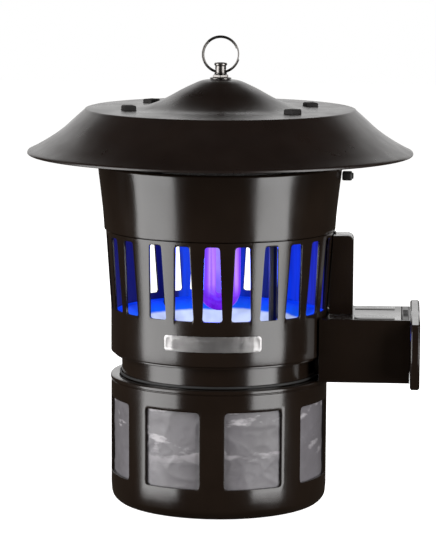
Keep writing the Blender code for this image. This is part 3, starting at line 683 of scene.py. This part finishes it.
def make_upper_housing():
    low, high = span("upper_band")
    top, bottom = high.z, low.z
    radius = high.y
    side = spline_line([
        (radius, top - 2.2), (radius - 0.5, top - 7.5), (radius - 1.5, top - 15.5),
        (radius - 2.6, top - 25.0),
        (radius - 3.7, top - 36.0), (radius - 4.5, bottom + 0.5),
    ])
    outer = arc_line([(58.0, top, 0), (radius - 0.2, top, 1.8), (radius, top - 2.3, 0)], 6) + side[1:]
    outer += [(radius - 4.6, bottom)]
    add_piece("upper_band_shell", turned(thick_line(outer, 2.4), steps=176), "housing", "bronze_plastic",
              nodes=["upper_band"])
    low, high = span("cord_gland")
    block = rounded_box((low.x, low.y, low.z), (high.x - 1.0, high.y, high.z), 1.1, 4)
    lip = rounded_box((high.x - 2.0, low.y + 1.5, low.z + 1.2), (high.x, high.y - 1.5, high.z - 1.2), 0.5)
    add_piece("gland_block", joined(block, lip), "housing", "inner_plastic", nodes=["cord_gland"])


def slot_half_width(height):
    low, high = SLOT_LEVELS
    return (14.3 + (10.6 - 14.3) * (height - low) / (high - low)) / 2


def slot_places():
    """One pitch all round, plain wall behind the spine, and closer slots beyond the wider rib at the left."""
    places = [SLOT_PITCH * step for step in range(-2, 13) if step != 6] + [-150.0, -165.0]
    places += [-WIDE_RIB_END - (CLOSE_SLOTS_END - WIDE_RIB_END) * step / 6 for step in range(7)]
    return places


def make_light_cage():
    low, high = span("light_cage")
    bottom, top_radius = low.z, high.y
    base_radius = BAND_RADIUS
    slot_low, slot_high = SLOT_LEVELS
    head = span("upper_band")[0].z - 0.9
    lower = arc_line([(74.0, bottom, 0), (base_radius, bottom, 0.9), (base_radius, bottom + 14.0, 0)], 4)
    below = lower + [(base_radius, slot_low - 10.0), (base_radius, slot_low - 3.0)]
    wall_rows = [(base_radius, slot_low), (top_radius - 0.1, slot_high)]
    above = [(top_radius, slot_high + 1.4), (top_radius, head), (top_radius - 2.1, head + 0.2),
             (top_radius - 2.1, high.z)]
    shell = pierced_shell(below, wall_rows, above, slot_places(), slot_half_width, 2.0, 3, 4)
    mesh = solid_shell(shell, 1.6, 0.35)
    mesh.materials.append(MATERIALS["bronze_plastic"])
    mesh.materials.append(MATERIALS["cage_painted_light"])
    # Inward faces from just below the slots upward carry the painted lamp light.
    for face in mesh.polygons:
        out = Vector((face.center.x, face.center.y)).normalized()
        inward = face.normal.x * out.x + face.normal.y * out.y < -0.6
        if inward and face.center.z > (slot_low - 8.0) * MM:
            face.material_index = 1
    add_piece("slotted_cage", mesh, "housing", "bronze_plastic", nodes=["light_cage"])


def make_nameplate():
    """The blank plate: a thin curved strip with a raised edge, where a name would go."""
    low, high = span("blank_nameplate")
    radius = BAND_RADIUS
    half_angle = math.asin(high.x / (radius + 0.6))
    corner = 2.2
    width = radius * half_angle
    bm = bmesh.new()
    outline = []
    corners = ((width, high.z, 0), (-width, high.z, 90), (-width, low.z, 180), (width, low.z, 270))
    for x, z, start in corners:
        cx = x - corner * (1 if x > 0 else -1)
        cz = z - corner * (1 if z == high.z else -1)
        for step in range(5):
            angle = math.radians(start + 90 * step / 4)
            outline.append((cx + corner * math.cos(angle), cz + corner * math.sin(angle)))
    middle_z = (low.z + high.z) / 2
    rings = []
    for share, lift in ((1.0, 0.1), (1.0, 0.62), (0.985, 0.78), (0.96, 0.78), (0.95, 0.6)):
        ring = []
        for x, z in outline:
            drop = 1.0 - (1.0 - share) * width / (high.z - middle_z)
            ring.append((x * share, middle_z + (z - middle_z) * drop, radius + lift))
        rings.append(ring)

    def placed(x, z, r):
        angle = x / radius
        return bm.verts.new((r * math.sin(angle) * MM, -r * math.cos(angle) * MM, z * MM))

    levels = [[placed(*point) for point in ring] for ring in rings]
    for first, second in zip(levels, levels[1:]):
        for step in range(len(first)):
            after = (step + 1) % len(first)
            bm.faces.new((first[step], first[after], second[after], second[step]))
    bm.faces.new(levels[-1])
    bm.faces.new(levels[0][::-1])
    bmesh.ops.triangulate(bm, faces=[face for face in bm.faces if len(face.verts) > 4])
    planes = 24
    for step in range(1, planes):
        angle = -half_angle + 2 * half_angle * step / planes
        normal = Vector((math.cos(angle), math.sin(angle), 0.0))
        geometry = bm.verts[:] + bm.edges[:] + bm.faces[:]
        bmesh.ops.bisect_plane(bm, geom=geometry, plane_co=(0, 0, 0), plane_no=normal)
    for vert in bm.verts:
        reach = math.hypot(vert.co.x, vert.co.y)
        flat = radius + 0.6
        if reach < flat * MM and abs(reach / MM - radius - 0.1) > 0.12:
            vert.co.x *= flat * MM / reach
            vert.co.y *= flat * MM / reach
    add_piece("plain_plate", finished(bm, 30.0), "housing", "plate_silver", nodes=["blank_nameplate"])


def make_side_screens():
    """Curved liners behind the side slots, which keep daylight out of the chamber."""
    low, high = SLOT_LEVELS[0] - 3.0, SLOT_LEVELS[1] + 2.5
    for name, start, end in (("right", 97.0, 157.0), ("left", 231.0, 272.0)):
        bm = bmesh.new()
        steps = 30
        rings = []
        for radius, z in ((76.6, low), (78.6, high), (77.6, high), (75.6, low)):
            ring = []
            for step in range(steps + 1):
                angle = math.radians(start + (end - start) * step / steps - 90)
                x, y = radius * math.cos(angle), radius * math.sin(angle)
                ring.append(bm.verts.new((x * MM, y * MM, z * MM)))
            rings.append(ring)
        for first, second in zip(rings, rings[1:] + rings[:1]):
            for step in range(steps):
                bm.faces.new((first[step], first[step + 1], second[step + 1], second[step]))
        for step in (0, steps):
            bm.faces.new([ring[step] for ring in rings])
        mesh = finished(bm)
        mesh.materials.append(MATERIALS["inner_plastic"])
        mesh.materials.append(MATERIALS["cage_painted_light"])
        # Inward faces of the liner carry the painted lamp light.
        for face in mesh.polygons:
            inward = face.normal.x * face.center.x + face.normal.y * face.center.y < 0.0
            if inward and abs(face.normal.z) < 0.5:
                face.material_index = 1
        add_piece(f"{name}_liner", mesh, "housing", "inner_plastic")


def make_spine_shoe():
    """The curved shoe beside the spine, over the slot next to it at the back."""
    slot_high = SLOT_LEVELS[1]
    outside = span("light_cage")[1].x
    low, high = span("mount_spine")[0].z + 1.0, slot_high + 1.5
    bm = bmesh.new()
    rings = []
    section = (
        (BAND_RADIUS + 1.0, low), (outside + 0.5, high), (outside + 2.0, high), (BAND_RADIUS + 2.6, low),
    )
    for reach, z in section:
        ring = []
        for step in range(13):
            angle = math.radians(2.0 + 22.0 * step / 12)
            ring.append(bm.verts.new((reach * math.cos(angle) * MM, reach * math.sin(angle) * MM, z * MM)))
        rings.append(ring)
    for first, second in zip(rings, rings[1:] + rings[:1]):
        for step in range(12):
            bm.faces.new((first[step], first[step + 1], second[step + 1], second[step]))
    for step in (0, 12):
        bm.faces.new([ring[step] for ring in rings])
    mesh = finished(bm)
    add_piece("spine_shoe", shade(baked(mesh, bevelled(0.5, 3))), "housing", "bronze_plastic")


def make_lamp():
    low, high = span("uv_lamp_tube")
    radius = (high.y - low.y) / 2
    leg = high.x - radius
    bend = low.z + radius + leg
    top = high.z
    points = [(-leg, 0.0, top), (-leg, 0.0, bend + 10.0)]
    for step in range(25):
        angle = math.pi + math.pi * step / 24
        points.append((leg * math.cos(angle), 0.0, bend + leg * math.sin(angle)))
    points += [(leg, 0.0, bend + 10.0), (leg, 0.0, top)]
    add_piece("lamp_tube", wire(points, radius, 10), "lamp", "lamp_glass", nodes=["uv_lamp_tube"])
    web = rounded_box((-(leg - radius) - 0.8, 1.0, bend - 3.2), (leg - radius + 0.8, 2.2, top - 8.0), 0.5)
    # The web's glow is painted lamp light between the legs.
    add_piece("lamp_web", web, "lamp", "lamp_glass", "web_painted_light")
    add_piece("lamp_cap", refined("lamp_base", 0.8), "lamp", "white_plastic", nodes=["lamp_base"])


# ---------------------------------------------------------------- funnel, neck and cage


def make_funnel():
    low, high = span("coated_funnel")
    radius, deck, foot = high.y, high.z, low.z
    line = arc_line([
        (radius, deck, 0), (71.0, deck, 2.5), (57.6, deck - 18.4, 5.0), (56.4, foot, 0),
    ], 6)
    mesh = turned(thick_line(line[::-1], 1.5), steps=128)
    # The funnel's colour is painted lamp light.
    mesh.materials.append(MATERIALS["funnel_painted_light"])
    holes = bmesh.new()
    for number in range(1, 5):
        corner, far = span(f"tie_post_{number}")
        centre = (corner + far) / 2 * MM
        bmesh.ops.create_cone(holes, cap_ends=True, segments=32, radius1=0.0039, radius2=0.0039, depth=0.06,
                              matrix=Matrix.Translation((centre.x, centre.y, deck * MM)))
    hole_mesh = bpy.data.meshes.new("post_holes")
    holes.to_mesh(hole_mesh)
    holes.free()
    cutter = bpy.data.objects.new("post_holes", hole_mesh)
    cut = shade(baked(mesh, ("BOOLEAN", {"object": cutter, "operation": "DIFFERENCE"})))
    bpy.data.objects.remove(cutter)
    add_piece("funnel", cut, "housing", "catalyst_coating", nodes=["coated_funnel"])


def make_neck():
    low, high = span("neck_housing")
    radius = span("cage_gasket")[0].y * -1 - 1.5
    top, bottom = high.z, low.z
    mesh = turned(arc_line([
        (64.5, top, 0), (high.y, top, 0.3), (high.y, top - 1.6, 0.3), (radius, top - 1.6, 0.5),
        (radius, bottom, 0.5), (radius - 2.4, bottom, 0.4), (radius - 2.4, top - 1.6, 0.5),
        (64.5, top - 1.6, 0),
    ], 3), steps=176)
    lugs = []
    for step in range(4):
        lug = rounded_box((radius - 1.2, -6.0, bottom + 0.4), (radius + 2.2, 6.0, bottom + 3.4), 0.5, 2)
        lug.transform(Matrix.Rotation(math.radians(45 + 90 * step), 4, "Z"))
        lugs.append(lug)
    add_piece("neck_ring", joined(mesh, *lugs), "housing", "bronze_plastic", nodes=["neck_housing"])
    low, high = span("cage_gasket")
    seal = turned(arc_line([
        (high.y - 1.1, high.z, 0), (high.y, high.z, 0.4), (high.y, low.z, 0.4), (high.y - 1.1, low.z, 0),
    ], 4), steps=128)
    add_piece("gasket_ring", seal, "cage_seal", "seal_rubber", nodes=["cage_gasket"])


def make_cage():
    high = span("retaining_cage")[1]
    top, rim = high.z, high.y
    wall_radius = rim - 0.5
    window_low, window_high = WINDOW_LEVELS
    base = arc_line([
        (1.2, 0.0, 0), (67.5, 0.0, 0), (73.2, 0.0, 7.0), (wall_radius - 0.7, 4.5, 8.0),
        (wall_radius, 13.0, 0),
    ], 7)
    wall_rows = [(wall_radius, window_low), (wall_radius + 0.1, window_high)]
    lip = arc_line([
        (wall_radius + 0.1, top - 4.6, 0), (wall_radius + 0.1, top - 3.5, 0.2),
        (wall_radius - 0.5, top - 3.2, 0.15),
        (wall_radius - 0.5, top - 2.7, 0.15), (rim, top - 2.4, 0.3), (rim, top, 0.8), (72.4, top, 0),
    ], 3)
    above = [(wall_radius + 0.1, window_high + 3.0), (wall_radius + 0.1, window_high + 9.0), *lip]
    below = base + [(wall_radius, window_low - 3.0)]
    places = [22.5 + 360.0 * step / WINDOW_COUNT for step in range(WINDOW_COUNT)]
    shell = pierced_shell(below, wall_rows, above, places, lambda height: 21.7, 2.6, 14, 4)
    mesh = solid_shell(shell, 2.1, 0.28)
    add_piece("cage_shell", mesh, "cage", "bronze_plastic", nodes=["retaining_cage"])


def make_screen():
    """The screen cloth: a sleeve behind the windows, pulled tight at the ends and crumpled between them."""
    low, high = span("mesh_sleeve")
    columns, rows = 420, 60
    radius = high.y - 0.55
    bm = bmesh.new()
    grid = []
    for row in range(rows + 1):
        share = row / rows
        z = low.z + (high.z - low.z) * share
        slack = math.sin(math.pi * share) ** 0.5
        ring = []
        for column in range(columns):
            angle = 2 * math.pi * column / columns
            place = Vector((math.cos(angle) * 3.2, math.sin(angle) * 3.2, z * 0.055))
            fold = 1.0 - abs(noise.noise(place + Vector((7.3, 1.9, 4.1)))) * 2.0
            crease = 1.0 - abs(noise.noise(place * 2.3 + Vector((2.0, 8.0, 5.0)))) * 2.0
            depth = slack * (0.42 * max(fold, 0.0) ** 3 + 0.2 * max(crease, 0.0) ** 4 - 0.3)
            reach = radius + min(depth, 0.35)
            ring.append(bm.verts.new((reach * math.cos(angle) * MM, reach * math.sin(angle) * MM, z * MM)))
        grid.append(ring)
    for first, second in zip(grid, grid[1:]):
        for step in range(columns):
            after = (step + 1) % columns
            bm.faces.new((first[step], first[after], second[after], second[step]))
    mesh = bpy.data.meshes.new("screen")
    bm.to_mesh(mesh)
    bm.free()
    screen = add_piece("screen_sleeve", shade(mesh, 80.0), "cage", "screen_cloth", nodes=["mesh_sleeve"])


# ---------------------------------------------------------------- wall mount


def make_wall_mount():
    low, high = span("wall_arm")
    arm = refined("wall_arm", 0.9, 3)
    add_piece("arm_shell", arm, "housing", "bronze_plastic", nodes=["wall_arm"])
    rail_end = span("release_latch")[0].x - 5.0
    for number, (near, far, rise) in enumerate(((-31.0, -14.0, 0.35), (14.0, 31.0, 0.35)), start=1):
        rail = rounded_box((99.0, near, high.z - 0.6), (rail_end, far, high.z + rise), 0.3, 2)
        add_piece(f"arm_rail_{number}", rail, "housing", "bronze_plastic")

    above_seal = span("cage_gasket")[1].z + 0.9
    below_plate = span("neck_housing")[1].z - 2.0
    foot = rounded_box((70.4, -19.0, above_seal), (low.x + 1.5, 19.0, below_plate), 0.5, 2)
    add_piece("arm_foot", foot, "housing", "bronze_plastic")

    latch_low, latch_high = span("release_latch")
    latch = refined("release_latch", 0.5)
    grips = []
    for step in range(5):
        y = -12.0 + 6.0 * step
        grips.append(rounded_box((latch_low.x + 1.0, y - 1.0, latch_high.z - 0.3),
                                 (latch_high.x - 1.0, y + 1.0, latch_high.z + 0.5), 0.3, 2))
    add_piece("latch_button", joined(latch, *grips), "latch", "inner_plastic", nodes=["release_latch"])

    plate = refined("wall_plate", 0.8, 3, 50.0)
    add_piece("plate_shell", plate, "wall_plate", "bronze_plastic", nodes=["wall_plate"])
    spine = refined("mount_spine", 0.9, 3, 50.0)
    add_piece("spine_shell", spine, "housing", "bronze_plastic", nodes=["mount_spine"])
    for number in (1, 2):
        low, high = span(f"spine_screw_{number}")
        z = (low.z + high.z) / 2
        profile = [(0.0, 1.9, 0), (2.2, 1.6, 1.5), (3.4, 0.4, 0.3), (3.4, 0.0, 0), (0.0, 0.0, 0)]
        dome = turned(arc_line(profile, 3), closed=False, steps=40)
        pin = [(0.0, 0.0), (1.6, 0.0), (1.6, -12.0), (1.0, -13.0), (0.0, -13.0)]
        shank = turned(pin, closed=False, steps=24)
        screw = joined(dome, shank)
        place = Matrix.Translation(((high.x - 1.6) * MM, 0.0, z * MM))
        screw.transform(place @ Matrix.Rotation(math.pi / 2, 4, "Y"))
        add_piece(f"spine_screw_head_{number}", shade(screw), "housing", "bright_steel",
                  nodes=[f"spine_screw_{number}"])


# ---------------------------------------------------------------- inner parts that keep their CAD shape


def dress_frame_nodes():
    """Give every CAD node that stays in view its own procedural finish."""
    fallback = {"catalyst_coating": "white_plastic"}
    for row in frame["record"]["subparts"]:
        obj = frame["nodes"][row["node"]]
        slot = row["material_slot"]
        material = MATERIALS[fallback.get(slot, slot)]
        for index in range(len(obj.material_slots)):
            obj.material_slots[index].material = material


# ---------------------------------------------------------------- studio


def place_camera():
    """Camera in front of the trap and a little towards its arm, above the roof and looking down on it."""
    distance = 2.05
    azimuth = math.radians(3.6)
    height = 0.4638
    aim = Vector((-0.0012, 0.0, 0.1703))
    data = bpy.data.cameras.new("camera")
    data.lens = 189.2
    data.clip_end = 30.0
    camera = bpy.data.objects.new("camera", data)
    camera.location = (distance * math.sin(azimuth), -distance * math.cos(azimuth), height)
    towards = (aim - camera.location).to_track_quat("-Z", "Y")
    roll = Matrix.Rotation(math.radians(0.3), 4, "Z")
    camera.rotation_euler = (towards.to_matrix().to_4x4() @ roll).to_euler()
    bpy.context.scene.collection.objects.link(camera)
    bpy.context.scene.camera = camera


def make_world():
    world = bpy.data.worlds.new("studio")
    world.use_nodes = True
    bpy.context.scene.world = world
    tree = world.node_tree
    tree.nodes.clear()
    output = tree.nodes.new("ShaderNodeOutputWorld")
    mix = tree.nodes.new("ShaderNodeMixShader")
    path = tree.nodes.new("ShaderNodeLightPath")
    seen = tree.nodes.new("ShaderNodeBackground")
    seen.inputs["Color"].default_value = (1.0, 1.0, 1.0, 1.0)
    seen.inputs["Strength"].default_value = 1.0
    light = tree.nodes.new("ShaderNodeBackground")
    light.inputs["Color"].default_value = (1.0, 0.82, 0.66, 1.0)
    light.inputs["Strength"].default_value = 0.035
    tree.links.new(path.outputs["Is Camera Ray"], mix.inputs["Fac"])
    tree.links.new(light.outputs["Background"], mix.inputs[1])
    tree.links.new(seen.outputs["Background"], mix.inputs[2])
    tree.links.new(mix.outputs["Shader"], output.inputs["Surface"])


def make_floor():
    """A pale floor that shows to the camera alone, so the trap stands on plain white."""
    look = Look("floor_white", (0.9, 0.9, 0.9), 0.8)
    look.glow(look.ramp(look.noise(0.5), ((0.3, (1.0, 1.0, 1.0)), (0.7, (0.995, 0.995, 0.995)))), 1.0)
    bm = bmesh.new()
    bmesh.ops.create_grid(bm, x_segments=1, y_segments=1, size=4.0,
                          matrix=Matrix.Translation((0.0, 0.0, -0.0005)))
    mesh = bpy.data.meshes.new("floor")
    bm.to_mesh(mesh)
    bm.free()
    mesh.materials.append(look.material)
    floor = bpy.data.objects.new("floor", mesh)
    bpy.context.scene.collection.objects.link(floor)
    floor.visible_glossy = False
    floor.visible_diffuse = False
    floor.visible_shadow = False


def softbox(name, azimuth, height, size, radiance, distance=1.3, aim_height=0.15):
    """A rectangular light at an azimuth from the camera side, positive towards the arm, aimed at the trap."""
    angle = math.radians(azimuth)
    data = bpy.data.lights.new(name, "AREA")
    data.shape = "RECTANGLE"
    data.size, data.size_y = size
    data.energy = radiance * math.pi * size[0] * size[1]
    light = bpy.data.objects.new(name, data)
    light.location = (distance * math.sin(angle), -distance * math.cos(angle), height)
    aim = Vector((0.0, 0.0, aim_height))
    light.rotation_euler = (aim - light.location).to_track_quat("-Z", "Y").to_euler()
    bpy.context.scene.collection.objects.link(light)


def lamp_light():
    """The lamp's light inside the slots."""
    low, high = span("uv_lamp_tube")
    for number, side in enumerate((-1, 1), start=1):
        data = bpy.data.lights.new(f"lamp_light_{number}", "POINT")
        data.energy = 0.10
        data.color = (0.04, 0.10, 1.0)
        data.shadow_soft_size = 0.012
        light = bpy.data.objects.new(data.name, data)
        light.location = (0.0, side * 0.030, (low.z + high.z) / 2 * MM)
        bpy.context.scene.collection.objects.link(light)


RING_AXIS_Z = [joint["pos_m"][2] for joint in frame["joints"] if joint["name"] == "ring_swing"][0] / MM
SLOT_LEVELS = (span("coated_funnel")[1].z + 4.8, span("upper_band")[0].z - 3.8)
WINDOW_LEVELS = (22.6, span("mesh_sleeve")[1].z - 6.0)
BAND_RADIUS = span("light_cage")[1].y - 3.8
MATERIALS = make_materials()

dress_frame_nodes()
make_roof()
make_hanger()
make_upper_housing()
make_light_cage()
make_nameplate()
make_lamp()
make_side_screens()
make_spine_shoe()
make_funnel()
make_neck()
make_cage()
make_screen()
make_wall_mount()

place_camera()
make_world()
make_floor()
softbox("left_softbox", -62, 0.42, (1.05, 1.5), 6.0, 1.3, 0.42)
softbox("right_softbox", 56, 0.42, (0.82, 1.5), 6.3, 1.3, 0.42)
softbox("back_panel", 180, 0.75, (3.0, 1.3), 1.1, 1.7, 0.30)
lamp_light()

bpy.context.scene.view_settings.view_transform = "Standard"
